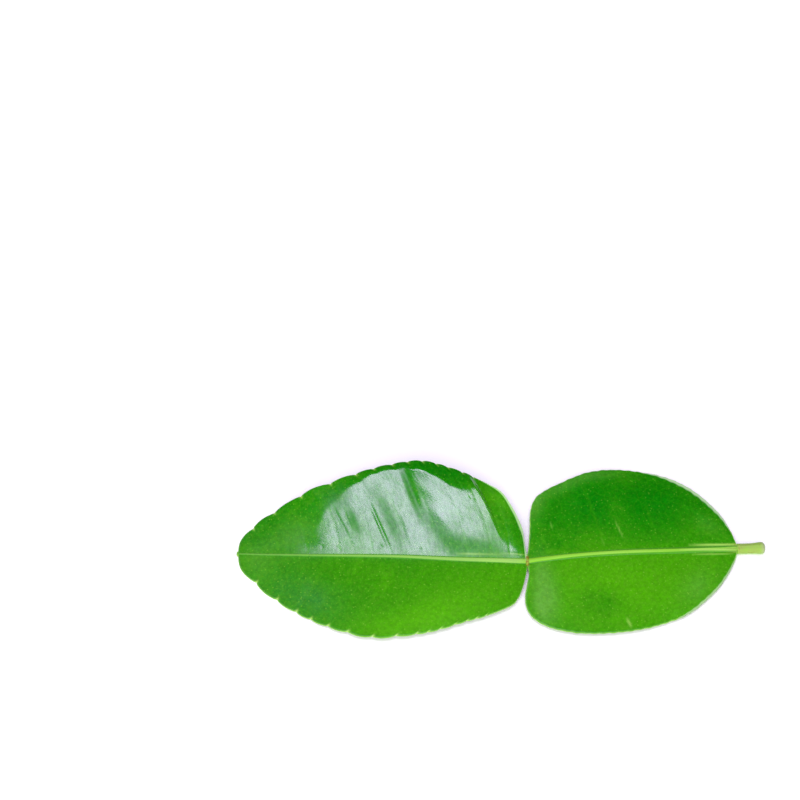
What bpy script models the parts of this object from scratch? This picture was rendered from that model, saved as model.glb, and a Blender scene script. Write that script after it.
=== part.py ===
"""A fresh kaffir lime leaf, picked and lying face up, as one solid in metres with +Z up.

The leaf grew as one piece. A leaflet with a scalloped margin runs from its tip at -X to the
joint, a winged stalk of nearly the same width runs on from the joint, and a short bare stalk
ends it at +X. One midrib runs through all of it. The blade is a grid: its rows are stations
along the margin, its columns run from one margin to the other, and every station line follows
the direction of the side veins.
"""

import math
from bisect import bisect_right

import bmesh
import bpy
from mathutils import Vector

# Every length below is in millimetres, and is scaled to metres when the mesh is made.
METRES_PER_MM = 0.001

# Lengths along the midrib from the joint, and widths from the midrib to the margin.
LEAFLET_LENGTH = 61.5
WING_LENGTH = 44.5
STALK_LENGTH = 6.0
LEAFLET_WIDTH = {"far": 20.9, "near": 18.2}
WING_WIDTH = {"far": 20.2, "near": 17.9}
SIDES = {"near": -1, "far": 1}

BLADE_THICKNESS = 0.72
MARGIN_THICKNESS = 0.66

# The midrib in plan: (x from the joint, y).
MIDRIB_LINE = ((-61.5, 2.4), (-45.0, 1.5), (-27.0, 0.9), (-14.0, 0.2), (-3.0, -0.05), (0.0, 0.0), (3.0, 0.4),
               (9.4, 1.12), (20.0, 1.92), (33.0, 2.5), (44.5, 3.2), (51.0, 3.4))

# Height of the blade's underside at the midrib: (x from the joint, height).
MIDRIB_HEIGHTS = ((-61.5, 0.0), (-56.0, 0.30), (-48.0, 0.95), (-36.0, 1.55), (-22.0, 1.85), (-8.0, 1.85),
                  (0.0, 1.55), (6.0, 1.65), (14.0, 1.85), (26.0, 1.70), (38.0, 1.30), (45.0, 1.05), (51.0, 1.1))

# The midrib's half width, its keel below the blade and its narrower crest above it.
RIB_AT_TIP, RIB_AT_JOINT, RIB_AT_STALK = 0.35, 1.0, 1.15
KEEL_SHARE = 0.85
CREST_WIDTH_SHARE, CREST_SHARE = 0.6, 0.26
CHANNEL_START, CHANNEL_DEPTH = 26.0, 0.2
NECK_HALF_WIDTH = 1.25
TIP_HALF_WIDTH = 0.45
STALK_RADII = ((0.0, 1.1), (0.5, 1.1), (0.88, 1.25), (1.0, 1.05))
STALK_SIDE_HEIGHT = 0.3
STALK_CROWN_SPREAD = 0.4
STALK_FLAT = 0.03

# Margins, from the joint outwards: (share of the length, share of the width).
LEAFLET_MARGIN = {
    "far": ((0.006, 0.17), (0.013, 0.345), (0.030, 0.475), (0.052, 0.60), (0.085, 0.735), (0.134, 0.82),
            (0.203, 0.90), (0.297, 0.98), (0.376, 1.0), (0.485, 0.945), (0.59, 0.86), (0.686, 0.755),
            (0.784, 0.635), (0.874, 0.495), (0.94, 0.335), (0.982, 0.17)),
    "near": ((0.009, 0.215), (0.020, 0.34), (0.035, 0.455), (0.062, 0.555), (0.14, 0.675), (0.222, 0.765),
             (0.343, 0.91), (0.466, 0.985), (0.54, 0.995), (0.626, 0.93), (0.71, 0.83), (0.79, 0.70),
             (0.873, 0.525), (0.936, 0.35), (0.979, 0.19)),
}
WING_MARGIN = {
    "far": ((0.008, 0.17), (0.016, 0.36), (0.022, 0.56), (0.047, 0.715), (0.101, 0.805), (0.171, 0.87),
            (0.245, 0.93), (0.317, 0.975), (0.416, 1.0), (0.54, 0.985), (0.683, 0.905), (0.8225, 0.71),
            (0.928, 0.45), (0.975, 0.24)),
    "near": ((0.005, 0.17), (-0.006, 0.30), (-0.016, 0.45), (-0.012, 0.58), (0.012, 0.70), (0.06, 0.81),
             (0.13, 0.90), (0.249, 0.98), (0.40, 1.0), (0.528, 0.97), (0.64, 0.90), (0.757, 0.785),
             (0.879, 0.545), (0.945, 0.345), (0.985, 0.17)),
}

# The scalloped margin: where its notches are along the leaflet, as shares of the length.
NOTCHES = {
    "far": (0.18, 0.22, 0.27, 0.31, 0.36, 0.41, 0.465, 0.53, 0.59, 0.68, 0.782, 0.876, 0.95),
    "near": (0.145, 0.18, 0.21, 0.25, 0.30, 0.34, 0.38, 0.45, 0.53, 0.615, 0.68, 0.74, 0.788, 0.857, 0.931),
}
LOBE_DEPTH_SHARE = 0.085
LOBE_ROUNDNESS = 0.6
LOBE_MEAN = 0.65

# Rows and columns of the grid. A half's columns are shares of the midrib's half width, then of the blade.
LEAFLET_STATIONS, WING_STATIONS, STALK_STATIONS = 88, 38, 6
RIB_COLUMNS = (0.3, 0.6, 1.0)
BLADE_COLUMNS = (0.12, 0.32, 0.53, 0.72, 0.88, 1.0)
MOST_RIB_SHARE = 0.68

# Where a station line leaves the midrib: (share of the margin, share of the length).
LEAFLET_FEET = ((0.0, 0.0), (0.1, 0.012), (0.2, 0.038), (0.32, 0.115), (0.45, 0.27), (0.6, 0.475),
                (0.75, 0.69), (0.9, 0.885), (1.0, 1.0))
WING_FEET = ((0.0, 0.0), (0.1, 0.04), (0.2, 0.115), (0.32, 0.30), (0.5, 0.56), (0.7, 0.79), (0.85, 0.91), (1.0, 1.0))
STATION_BOW = 0.16

# Side veins: a raised line below and a shallow groove above, every few stations.
VEIN_EVERY = 7
VEIN_RIDGE, VEIN_GROOVE = 0.2, 0.08

# Slope of each half beside the midrib, and how that fades: (share of the margin, share of the slope).
LEAFLET_RISE = {"far": 0.25, "near": -0.02}
WING_RISE = {"far": -0.01, "near": -0.055}
LEAFLET_FADE = ((0.0, 0.0), (0.1, 0.7), (0.2, 1.0), (0.58, 1.0), (0.74, 0.74), (0.85, 0.15), (1.0, 0.0))
WING_FADE = ((0.0, 0.4), (0.2, 1.0), (0.7, 1.0), (1.0, 0.2))

# How far a margin rolls down, as a share of the half's width there: (share of the margin, share).
LEAFLET_ROLL = {
    "far": ((0.0, 0.03), (0.1, 0.10), (0.2, 0.11), (0.26, 0.08), (0.35, 0.065), (0.6, 0.055), (0.85, 0.07),
            (1.0, 0.02)),
    "near": ((0.0, 0.02), (0.15, 0.05), (0.35, 0.05), (0.6, 0.05), (0.85, 0.055), (1.0, 0.02)),
}
WING_ROLL = {
    "far": ((0.0, 0.0), (0.15, -0.025), (0.3, -0.01), (0.5, 0.035), (0.75, 0.09), (0.92, 0.10), (1.0, 0.02)),
    "near": ((0.0, 0.03), (0.2, 0.055), (0.35, 0.065), (0.5, 0.055), (0.75, 0.085), (0.92, 0.09), (1.0, 0.02)),
}

# Where a half starts to turn down: (share of the margin, share of the way out from the midrib).
LEAFLET_FOLD = {
    "far": ((0.0, 0.10), (0.1, 0.15), (0.2, 0.25), (0.235, 0.42), (0.255, 0.64), (0.275, 0.80), (0.32, 0.87),
            (0.45, 0.90), (0.6, 0.86), (1.0, 0.6)),
    "near": ((0.0, 0.5), (0.15, 0.65), (0.85, 0.65), (1.0, 0.5)),
}
WING_FOLD = {
    "far": ((0.0, 0.5), (0.2, 0.6), (0.4, 0.6), (0.6, 0.80), (0.75, 0.88), (0.92, 0.82), (1.0, 0.5)),
    "near": ((0.0, 0.5), (1.0, 0.5)),
}
FOLD_SOFTNESS = 0.2

# Gentle waves of the margin: how many along each half of a blade, and how high.
WAVES = {"far": 3.0, "near": 2.6}
WAVE_HEIGHT = {"far": 0.35, "near": 0.25}

COLOUR = (0.045, 0.235, 0.012, 1.0)
ROUGHNESS = 0.32
SMOOTH_ANGLE = math.radians(50)


def clear_scene():
    """Removes the objects that the scene starts with."""
    for item in list(bpy.data.objects):
        bpy.data.objects.remove(item, do_unlink=True)


def smooth_value(knots, at):
    """The height at one place of a smooth curve through knots, which are (place, height) pairs."""
    places = [place for place, _ in knots]
    heights = [height for _, height in knots]
    at = min(max(at, places[0]), places[-1])
    last = len(places) - 1
    index = min(bisect_right(places, at), last) - 1

    def slope(k):
        low, high = max(k - 1, 0), min(k + 1, last)
        return (heights[high] - heights[low]) / (places[high] - places[low])

    span = places[index + 1] - places[index]
    t = (at - places[index]) / span
    start = (2 * t**3 - 3 * t**2 + 1) * heights[index] + (t**3 - 2 * t**2 + t) * span * slope(index)
    end = (3 * t**2 - 2 * t**3) * heights[index + 1] + (t**3 - t**2) * span * slope(index + 1)
    return start + end


def midrib_y(x):
    """How far the midrib lies off the X axis."""
    return smooth_value(MIDRIB_LINE, x)


def rib_half_width(x):
    """The midrib's half width, thinnest at the tip."""
    if x < 0:
        return RIB_AT_JOINT + (RIB_AT_TIP - RIB_AT_JOINT) * (-x / LEAFLET_LENGTH)
    return RIB_AT_JOINT + (RIB_AT_STALK - RIB_AT_JOINT) * min(x / WING_LENGTH, 1.0)


class Margin:
    """One half's smooth margin, read by the share of its length from the joint."""

    FINE = 40
    STEP = 0.004

    def __init__(self, points, turn):
        self.turn = turn
        self.line = []
        ahead = [points[0] * 2 - points[1], *points, points[-1] * 2 - points[-2]]
        for a, b, c, d in zip(ahead, ahead[1:], ahead[2:], ahead[3:]):
            for step in range(self.FINE):
                t = step / self.FINE
                bend = (2 * a - 5 * b + 4 * c - d) * t**2 + (3 * b - a - 3 * c + d) * t**3
                self.line.append(0.5 * (2 * b + (c - a) * t + bend))
        self.line.append(points[-1])
        self.run = [0.0]
        for p, q in zip(self.line, self.line[1:]):
            self.run.append(self.run[-1] + (q - p).length)

    def at(self, share):
        """The point at this share of the margin's length."""
        want = min(max(share, 0.0), 1.0) * self.run[-1]
        index = min(bisect_right(self.run, want), len(self.run) - 1)
        part = (want - self.run[index - 1]) / (self.run[index] - self.run[index - 1])
        return self.line[index - 1].lerp(self.line[index], part)

    def moved(self, share, outwards):
        """The point at this share of the margin's length, moved straight out of the blade."""
        along = self.at(share + self.STEP) - self.at(share - self.STEP)
        return self.at(share) + Vector((along.y, -along.x)).normalized() * self.turn * outwards

    def share_at(self, x):
        """The share of the margin's length at the first point that is this far along the leaf."""
        for point, run in zip(self.line, self.run):
            if abs(point.x) >= abs(x):
                return run / self.run[-1]
        return 1.0


def margin_of(shares, length, width, direction, side, end):
    """One half's margin in plan. The half width is the neck's at the joint and end at the other end."""
    points = [Vector((0.0, side * NECK_HALF_WIDTH))]
    for along, across in shares:
        x = direction * along * length
        points.append(Vector((x, midrib_y(x) + side * width * across)))
    x = direction * length
    points.append(Vector((x, midrib_y(x) + side * end)))
    return Margin(points, -side * direction)


def lobed_stations(margin, notches):
    """(share of the margin, outward offset) of each station from the joint to the tip.

    Every notch falls on a station, and each lobe swells between two notches.
    """
    places = [0.0, *(margin.share_at(LEAFLET_LENGTH * notch) for notch in notches), 1.0]
    rows = [round(place * LEAFLET_STATIONS) for place in places]
    stations = []
    for lobe, (first, last) in enumerate(zip(rows, rows[1:])):
        length = (places[lobe + 1] - places[lobe]) * margin.run[-1]
        depth = LOBE_DEPTH_SHARE * length if lobe else 0.0
        for row in range(first, last):
            part = (row - first) / (last - first)
            swell = math.sin(math.pi * part) ** LOBE_ROUNDNESS - LOBE_MEAN
            stations.append((places[lobe] + (places[lobe + 1] - places[lobe]) * part, depth * swell))
    stations.append((1.0, 0.0))
    return stations


def plain_stations(count):
    """(share of the margin, outward offset) of evenly spaced stations on a margin without lobes."""
    return [(k / count, 0.0) for k in range(count + 1)]


def half_columns():
    """(kind, share) of each column of a half, from the midrib's own line out to the margin."""
    return [("rib", 0.0), *(("rib", c) for c in RIB_COLUMNS), *(("blade", c) for c in BLADE_COLUMNS)]


def dome(share):
    """Height of a round cross-section of height 1, at this share of its half width."""
    return math.sqrt(max(0.0, 1 - share**2))


class Shape:
    """How one blade stands: its slopes beside the midrib and the roll of its margins."""

    def __init__(self, rise, fade, roll, fold):
        self.rise = rise
        self.fade = fade
        self.roll = roll
        self.fold = fold

    def turned(self, name, share, out):
        """How far this point has turned down, from 0 inside the fold to 1 at the margin."""
        fold = smooth_value(self.fold[name], share)
        beyond = max(0.0, (out - fold) / (1 - fold))
        return beyond**2 * (1 + FOLD_SOFTNESS) / (beyond + FOLD_SOFTNESS)

    def lift(self, name, share, off, out, reach):
        """Height of the blade against the midrib: off is the distance from the midrib in plan."""
        fade = smooth_value(self.fade, share)
        wave = math.sin(math.pi * share) * math.sin(2 * math.pi * WAVES[name] * share)
        drop = smooth_value(self.roll[name], share) * reach * self.turned(name, share, out)
        return self.rise[name] * off * fade - drop + WAVE_HEIGHT[name] * wave * out**2


LEAFLET_SHAPE = Shape(LEAFLET_RISE, LEAFLET_FADE, LEAFLET_ROLL, LEAFLET_FOLD)
WING_SHAPE = Shape(WING_RISE, WING_FADE, WING_ROLL, WING_FOLD)


class BladeStation:
    """One line across the leaflet or the wing, from margin to margin."""

    def __init__(self, shape, foot_x, edges, shares, veined):
        self.shape = shape
        self.foot = Vector((foot_x, midrib_y(foot_x)))
        self.edges = edges
        self.shares = shares
        self.veined = veined

    def column(self, name, kind, share):
        """(point in plan, height of the underside, height of the upper side) of one column."""
        edge = self.edges[name]
        reach = (edge - self.foot).length
        rib = rib_half_width(self.foot.x)
        rib_share = min(rib / reach, MOST_RIB_SHARE)
        out = share * rib_share if kind == "rib" else rib_share + (1 - rib_share) * share
        point = self.foot.lerp(edge, out)
        point.x += STATION_BOW * (self.foot.x - edge.x) * 4 * out * (1 - out)
        off = abs(point.y - midrib_y(point.x))
        lift = smooth_value(MIDRIB_HEIGHTS, point.x) + self.shape.lift(name, self.shares[name], off, out, reach)
        keel, crest, vein = 0.0, 0.0, 0.0
        if kind == "rib":
            keel = KEEL_SHARE * rib * dome(share)
            crest = self.crest(share) * rib
        elif name in self.veined:
            vein = 1 - share**2
        thickness = BLADE_THICKNESS + (MARGIN_THICKNESS - BLADE_THICKNESS) * out**4
        lower = max(lift - keel - VEIN_RIDGE * vein, 0.0)
        upper = max(lift, 0.0) + thickness + crest - VEIN_GROOVE * vein
        return point, lower, upper

    def crest(self, share):
        """Height of the midrib above the blade, per its half width: near the stalk it has a channel."""
        channel = min(max((self.foot.x - CHANNEL_START) / (WING_LENGTH - CHANNEL_START), 0.0), 1.0)
        within = share / CREST_WIDTH_SHARE
        return CREST_SHARE * dome(within) - CHANNEL_DEPTH * channel * max(0.0, 1 - 2 * within)


class StalkStation:
    """One line across the bare stalk, a round rod that lies on the surface."""

    def __init__(self, x, radius):
        self.foot = Vector((x, midrib_y(x)))
        self.radius = radius

    def column(self, name, kind, share):
        """(point in plan, height of the underside, height of the upper side) of one column."""
        spread = STALK_CROWN_SPREAD * share
        if kind == "blade":
            spread = STALK_CROWN_SPREAD + (1 - STALK_CROWN_SPREAD) * share
        off = math.sin(spread * math.pi / 2)
        half = STALK_SIDE_HEIGHT / 2 + (self.radius - STALK_SIDE_HEIGHT / 2) * dome(off)
        centre = max(smooth_value(MIDRIB_HEIGHTS, self.foot.x), self.radius) - STALK_FLAT
        return self.foot + Vector((0.0, SIDES[name] * self.radius * off)), max(centre - half, 0.0), centre + half


def blade_stations(shape, places, margins, feet, length, vein_start):
    """The stations of one blade from the joint outwards."""
    stations = []
    count = len(places["far"]) - 1
    for k in range(count + 1):
        edges = {name: margins[name].moved(*places[name][k]) for name in SIDES}
        shares = {name: places[name][k][0] for name in SIDES}
        foot = length * smooth_value(feet, sum(shares.values()) / 2)
        stations.append(BladeStation(shape, foot, edges, shares, veined_halves(k, vein_start, count)))
    return stations


def veined_halves(k, start, count):
    """Which halves have a side vein on this station: the two halves take turns."""
    if k < start or k > count - 4:
        return ()
    turns = {0: ("far",), VEIN_EVERY // 2: ("near",)}
    return turns.get(k % VEIN_EVERY, ())


def leaflet_stations():
    """The leaflet's stations, from its tip to the joint."""
    margins = {name: margin_of(LEAFLET_MARGIN[name], LEAFLET_LENGTH, LEAFLET_WIDTH[name], -1, side, TIP_HALF_WIDTH)
               for name, side in SIDES.items()}
    places = {name: lobed_stations(margins[name], NOTCHES[name]) for name in SIDES}
    return blade_stations(LEAFLET_SHAPE, places, margins, LEAFLET_FEET, -LEAFLET_LENGTH, 10)[::-1]


def wing_stations():
    """The wing's stations, from just past the joint to the bare stalk."""
    margins = {name: margin_of(WING_MARGIN[name], WING_LENGTH, WING_WIDTH[name], 1, side, STALK_RADII[0][1])
               for name, side in SIDES.items()}
    places = {name: plain_stations(WING_STATIONS) for name in SIDES}
    return blade_stations(WING_SHAPE, places, margins, WING_FEET, WING_LENGTH, 4)[1:]


def stalk_stations():
    """The bare stalk's stations, up to its broken end."""
    steps = [(k + 1) / STALK_STATIONS for k in range(STALK_STATIONS)]
    return [StalkStation(WING_LENGTH + STALK_LENGTH * step, smooth_value(STALK_RADII, step)) for step in steps]


def leaf_mesh(name):
    """The whole leaf as one closed mesh: a grid for the underside, pulled up to the upper side."""
    stations = leaflet_stations() + wing_stations() + stalk_stations()
    half = half_columns()
    columns = [("near", *c) for c in half[:0:-1]] + [("far", *c) for c in half]
    form = bmesh.new()
    upper_height = form.verts.layers.float.new("upper_height")
    bmesh.ops.create_grid(form, x_segments=len(stations) - 1, y_segments=len(columns) - 1, size=1.0)
    bmesh.ops.triangulate(form, faces=form.faces[:])
    for vert in form.verts:
        station = stations[round((vert.co.x + 1) / 2 * (len(stations) - 1))]
        point, lower, upper = station.column(*columns[round((vert.co.y + 1) / 2 * (len(columns) - 1))])
        vert.co = (point.x, point.y, lower)
        vert[upper_height] = upper
    raised = bmesh.ops.extrude_face_region(form, geom=form.faces[:], use_keep_orig=True)
    for item in raised["geom"]:
        if isinstance(item, bmesh.types.BMVert):
            item.co.z = item[upper_height]
    bmesh.ops.recalc_face_normals(form, faces=form.faces[:])
    mesh = bpy.data.meshes.new(name)
    form.to_mesh(mesh)
    form.free()
    return mesh


def centre_on_origin(mesh):
    """Scales the mesh to metres, with the origin under the middle of its bounding box."""
    xs = [v.co.x for v in mesh.vertices]
    ys = [v.co.y for v in mesh.vertices]
    middle = Vector(((min(xs) + max(xs)) / 2, (min(ys) + max(ys)) / 2, min(v.co.z for v in mesh.vertices)))
    for vert in mesh.vertices:
        vert.co = (vert.co - middle) * METRES_PER_MM


def leaf_green():
    """The leaf's own material."""
    material = bpy.data.materials.new("leaf_green")
    material.use_nodes = True
    shader = material.node_tree.nodes["Principled BSDF"]
    shader.inputs["Base Color"].default_value = COLOUR
    shader.inputs["Roughness"].default_value = ROUGHNESS
    shader.inputs["Metallic"].default_value = 0.0
    return material


def main():
    """Builds the leaf."""
    clear_scene()
    mesh = leaf_mesh("leaf")
    centre_on_origin(mesh)
    mesh.materials.append(leaf_green())
    leaf = bpy.data.objects.new("leaf", mesh)
    bpy.context.scene.collection.objects.link(leaf)
    mesh.shade_smooth()
    mesh.set_sharp_from_angle(angle=SMOOTH_ANGLE)


main()
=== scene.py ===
"""Looks of a fresh kaffir lime leaf that lies face up on a plain pale table.

The pieces follow the solid's form at a finer step, with a blade as thin as a real one: the leaflet,
and the winged stalk with its bare end, meet at a narrow joint. Every length is in millimetres from
the joint until a mesh is written, and in metres from there on.
"""

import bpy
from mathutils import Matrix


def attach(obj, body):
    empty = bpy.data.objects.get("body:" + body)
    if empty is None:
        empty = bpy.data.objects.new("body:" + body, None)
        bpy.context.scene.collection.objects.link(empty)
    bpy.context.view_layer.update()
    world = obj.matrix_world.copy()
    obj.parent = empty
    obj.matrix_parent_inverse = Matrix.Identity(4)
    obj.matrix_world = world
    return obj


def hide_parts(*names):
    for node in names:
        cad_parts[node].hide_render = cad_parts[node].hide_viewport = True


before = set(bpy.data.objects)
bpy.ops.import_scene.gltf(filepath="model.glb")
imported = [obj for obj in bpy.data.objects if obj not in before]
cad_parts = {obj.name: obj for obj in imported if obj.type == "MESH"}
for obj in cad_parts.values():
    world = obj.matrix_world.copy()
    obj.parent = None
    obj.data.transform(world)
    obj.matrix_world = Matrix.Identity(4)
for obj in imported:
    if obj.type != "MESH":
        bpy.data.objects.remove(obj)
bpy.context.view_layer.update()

import logging
import math
from collections.abc import Callable
from dataclasses import dataclass, field
from enum import Enum
from functools import reduce
from typing import Generic, TypeVar

import bmesh
import bpy
import numpy as np
from mathutils import Vector

LOG = logging.getLogger("kaffir_lime_leaf")
METRES_PER_MM = 0.001
MM_PER_METRE = 1000.0

# Where the joint between leaflet and wing stands in the solid's frame.
JOINT_PLACE = (5.5, -2.4585)

# The mark that a point bears when it is this far from the margin or further.
WELL_INSIDE = 6.0

Array = np.ndarray
Knots = tuple[tuple[float, float], ...]
Point = tuple[float, float, float]
Colour = tuple[float, float, float]
Material = bpy.types.Material
Object = bpy.types.Object
Socket = bpy.types.NodeSocket
Value = Socket | float | Colour
Kind = TypeVar("Kind")


class Side(Enum):
    """The two halves of a blade, by the sign of their direction from the midrib."""

    NEAR = -1
    FAR = 1


class Face(Enum):
    """The material slots of a blade piece."""

    UPPER = 0
    LOWER = 1


@dataclass(frozen=True)
class Halves(Generic[Kind]):
    """One value for the far half of a blade and one for the near half."""

    far: Kind
    near: Kind

    def __getitem__(self, side: Side) -> Kind:
        """The value of one half."""
        return self.far if side is Side.FAR else self.near


MIDRIB_LINE: Knots = ((-61.5, 2.4), (-45.0, 1.5), (-27.0, 0.9), (-14.0, 0.2), (-3.0, -0.05), (0.0, 0.0), (3.0, 0.4),
                      (9.4, 1.12), (20.0, 1.92), (33.0, 2.5), (44.5, 3.2), (51.0, 3.4))
MIDRIB_HEIGHTS: Knots = ((-61.5, 0.0), (-56.0, 0.3), (-48.0, 0.95), (-36.0, 1.55), (-22.0, 1.85), (-8.0, 1.85),
                         (0.0, 1.55), (6.0, 1.65), (14.0, 1.85), (26.0, 1.7), (38.0, 1.3), (45.0, 1.05), (51.0, 1.1))


def curve(knots: Knots, at: Array) -> Array:
    """Reads a smooth curve through its knots.

    Args:
        knots: (place, height) pairs in rising order of place.
        at: The places to read.

    Returns:
        The height at each place.
    """
    places = np.array([place for place, _ in knots])
    heights = np.array([height for _, height in knots])
    slopes = np.empty(len(knots))
    slopes[1:-1] = (heights[2:] - heights[:-2]) / (places[2:] - places[:-2])
    slopes[0] = (heights[1] - heights[0]) / (places[1] - places[0])
    slopes[-1] = (heights[-1] - heights[-2]) / (places[-1] - places[-2])
    at = np.clip(at, places[0], places[-1])
    index = np.clip(np.searchsorted(places, at, side="right") - 1, 0, len(places) - 2)
    span = places[index + 1] - places[index]
    t = (at - places[index]) / span
    start = (2 * t**3 - 3 * t**2 + 1) * heights[index] + (t**3 - 2 * t**2 + t) * span * slopes[index]
    end = (3 * t**2 - 2 * t**3) * heights[index + 1] + (t**3 - t**2) * span * slopes[index + 1]
    return start + end


def dome(share: Array) -> Array:
    """Height of a round cross-section of height 1, at these shares of its half width."""
    return np.sqrt(np.clip(1 - share**2, 0.0, None))


def bell(distance: Array, width: float) -> Array:
    """A smooth bump of height 1 that has faded out at about twice its width."""
    return np.exp(-((distance / width) ** 2))


@dataclass(frozen=True)
class Midrib:
    """The one rib that runs through the whole leaf, in millimetres."""

    at_tip: float = 0.35
    at_joint: float = 1.0
    at_stalk: float = 1.15
    keel_share: float = 0.85
    crest_width_share: float = 0.5
    crest_share: float = 0.22
    channel_start: float = 26.0
    channel_depth: float = 0.12
    leaflet_length: float = 61.5
    wing_length: float = 44.5
    core: Knots = ((-61.5, 0.36), (-30.0, 0.39), (-12.0, 0.5), (-3.0, 0.55), (4.0, 0.46), (12.0, 0.36),
                   (30.0, 0.32), (36.0, 0.22), (40.0, 0.16), (46.0, 0.16))

    def half_width(self, x: Array) -> Array:
        """The rib's half width at these distances from the joint."""
        towards_tip = self.at_joint + (self.at_tip - self.at_joint) * (-x / self.leaflet_length)
        towards_stalk = self.at_joint + (self.at_stalk - self.at_joint) * np.minimum(x / self.wing_length, 1.0)
        return np.where(x < 0, towards_tip, towards_stalk)

    def crest(self, x: Array, share: Array) -> Array:
        """Height of the crest above the blade, per its half width: near the stalk it has a channel."""
        channel = np.clip((x - self.channel_start) / (self.wing_length - self.channel_start), 0.0, 1.0)
        within = share / self.crest_width_share
        return self.crest_share * dome(within) - self.channel_depth * channel * np.clip(1 - 2 * within, 0.0, None)


class Margin:
    """One half's smooth margin in plan, read by the share of its length from the joint."""

    FINE = 40
    STEP = 0.004

    def __init__(self, points: list[Vector], turn: float) -> None:
        """Draws the margin through its points.

        Args:
            points: Points in plan, from the joint outwards.
            turn: 1 or -1, whichever makes the outward direction point out of the blade.
        """
        self.turn = turn
        line: list[Vector] = []
        ahead = [points[0] * 2 - points[1], *points, points[-1] * 2 - points[-2]]
        for a, b, c, d in zip(ahead, ahead[1:], ahead[2:], ahead[3:]):
            for step in range(self.FINE):
                t = step / self.FINE
                bend = (2 * a - 5 * b + 4 * c - d) * t**2 + (3 * b - a - 3 * c + d) * t**3
                line.append(0.5 * (2 * b + (c - a) * t + bend))
        line.append(points[-1])
        self.line = np.array([tuple(point) for point in line])
        steps = np.linalg.norm(np.diff(self.line, axis=0), axis=1)
        self.run = np.concatenate([[0.0], np.cumsum(steps)])

    def at(self, share: Array) -> Array:
        """The points at these shares of the margin's length."""
        want = np.clip(share, 0.0, 1.0) * self.run[-1]
        return np.stack([np.interp(want, self.run, self.line[:, axis]) for axis in (0, 1)], axis=-1)

    def moved(self, share: Array, outwards: Array) -> Array:
        """The points at these shares, each moved straight out of the blade by its own length."""
        along = self.at(share + self.STEP) - self.at(share - self.STEP)
        across = np.stack([along[:, 1], -along[:, 0]], axis=-1)
        across /= np.linalg.norm(across, axis=1, keepdims=True)
        return self.at(share) + across * self.turn * outwards[:, None]

    def share_at(self, x: float) -> float:
        """The share of the margin's length at the first point that is this far along the leaf."""
        beyond = np.abs(self.line[:, 0]) >= abs(x)
        return float(self.run[int(np.argmax(beyond))] / self.run[-1]) if beyond.any() else 1.0


@dataclass(frozen=True)
class Scallops:
    """The rounded lobes of a margin, with a notch between each two."""

    notches: Halves[tuple[float, ...]]
    depth_share: float = 0.085
    roundness: float = 0.6
    mean: float = 0.65
    reach: float = 0.3


@dataclass(frozen=True)
class Stroke:
    """A line on the blade between two points in plan: a valley or a ridge in it, or a pale mark."""

    start: tuple[float, float]
    end: tuple[float, float]
    width: float
    sink: float
    pale: float

    TAIL = 0.04
    FULLNESS = 0.6

    def at(self, points: Array) -> Array:
        """How strong the line is at these points, from 0 to 1."""
        start, run = np.array(self.start), np.subtract(self.end, self.start)
        along = np.clip(((points - start) @ run) / (run @ run), 0.0, 1.0)
        away = np.linalg.norm(points - start - along[..., None] * run, axis=-1)
        return bell(away, self.width) * np.sin(np.pi * np.clip(along, self.TAIL, 1 - self.TAIL)) ** self.FULLNESS


@dataclass(frozen=True)
class Patch:
    """A soft round or long patch on the blade, turned in plan."""

    centre: tuple[float, float]
    radii: tuple[float, float]
    turn_deg: float
    amount: float

    def at(self, points: Array) -> Array:
        """How strong the patch is at these points."""
        turn = math.radians(self.turn_deg)
        away = points - np.array(self.centre)
        along = away[..., 0] * math.cos(turn) + away[..., 1] * math.sin(turn)
        across = away[..., 1] * math.cos(turn) - away[..., 0] * math.sin(turn)
        return self.amount * np.exp(-((along / self.radii[0]) ** 2) - (across / self.radii[1]) ** 2)


def strokes(*rows: tuple[float, ...]) -> tuple[Stroke, ...]:
    """Strokes from rows of start x and y, end x and y, width, sink and paleness."""
    return tuple(Stroke((x, y), (end_x, end_y), *rest) for x, y, end_x, end_y, *rest in rows)


def patches(*rows: tuple[float, ...]) -> tuple[Patch, ...]:
    """Patches from rows of centre x and y, the two radii, the turn in degrees and the amount."""
    return tuple(Patch((x, y), (along, across), *rest) for x, y, along, across, *rest in rows)


@dataclass(frozen=True)
class BladeForm:
    """The outline, the stance and the drawing of one blade, the leaflet or the wing."""

    name: str
    direction: int
    length: float
    width: Halves[float]
    margin: Halves[Knots]
    end_half_width: float
    feet: Knots
    rise: Halves[float]
    fade: Knots
    roll: Halves[Knots]
    fold: Halves[Knots]
    relief: Halves[float]
    grain: Halves[float]
    solid_rows: int
    vein_start: int
    fineness: int
    lip: Halves[Knots]
    crimp: float = 0.0
    scallops: Scallops | None = None
    strokes: tuple[Stroke, ...] = ()
    dents: tuple[Patch, ...] = ()
    # Patches of painted light, painted shade, bluish painted shade and painted sheen; the dull patches only roughen
    # the gloss.
    sunny: tuple[Patch, ...] = ()
    deep: tuple[Patch, ...] = ()
    dusk: tuple[Patch, ...] = ()
    bloom: tuple[Patch, ...] = ()
    dull: tuple[Patch, ...] = ()


# The marks that a blade's patches of the same name make: all but the dull one paint light, shade or sheen into the
# skin's colour.
PATCH_MARKS = ("sunny", "deep", "dusk", "bloom", "dull")

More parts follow.
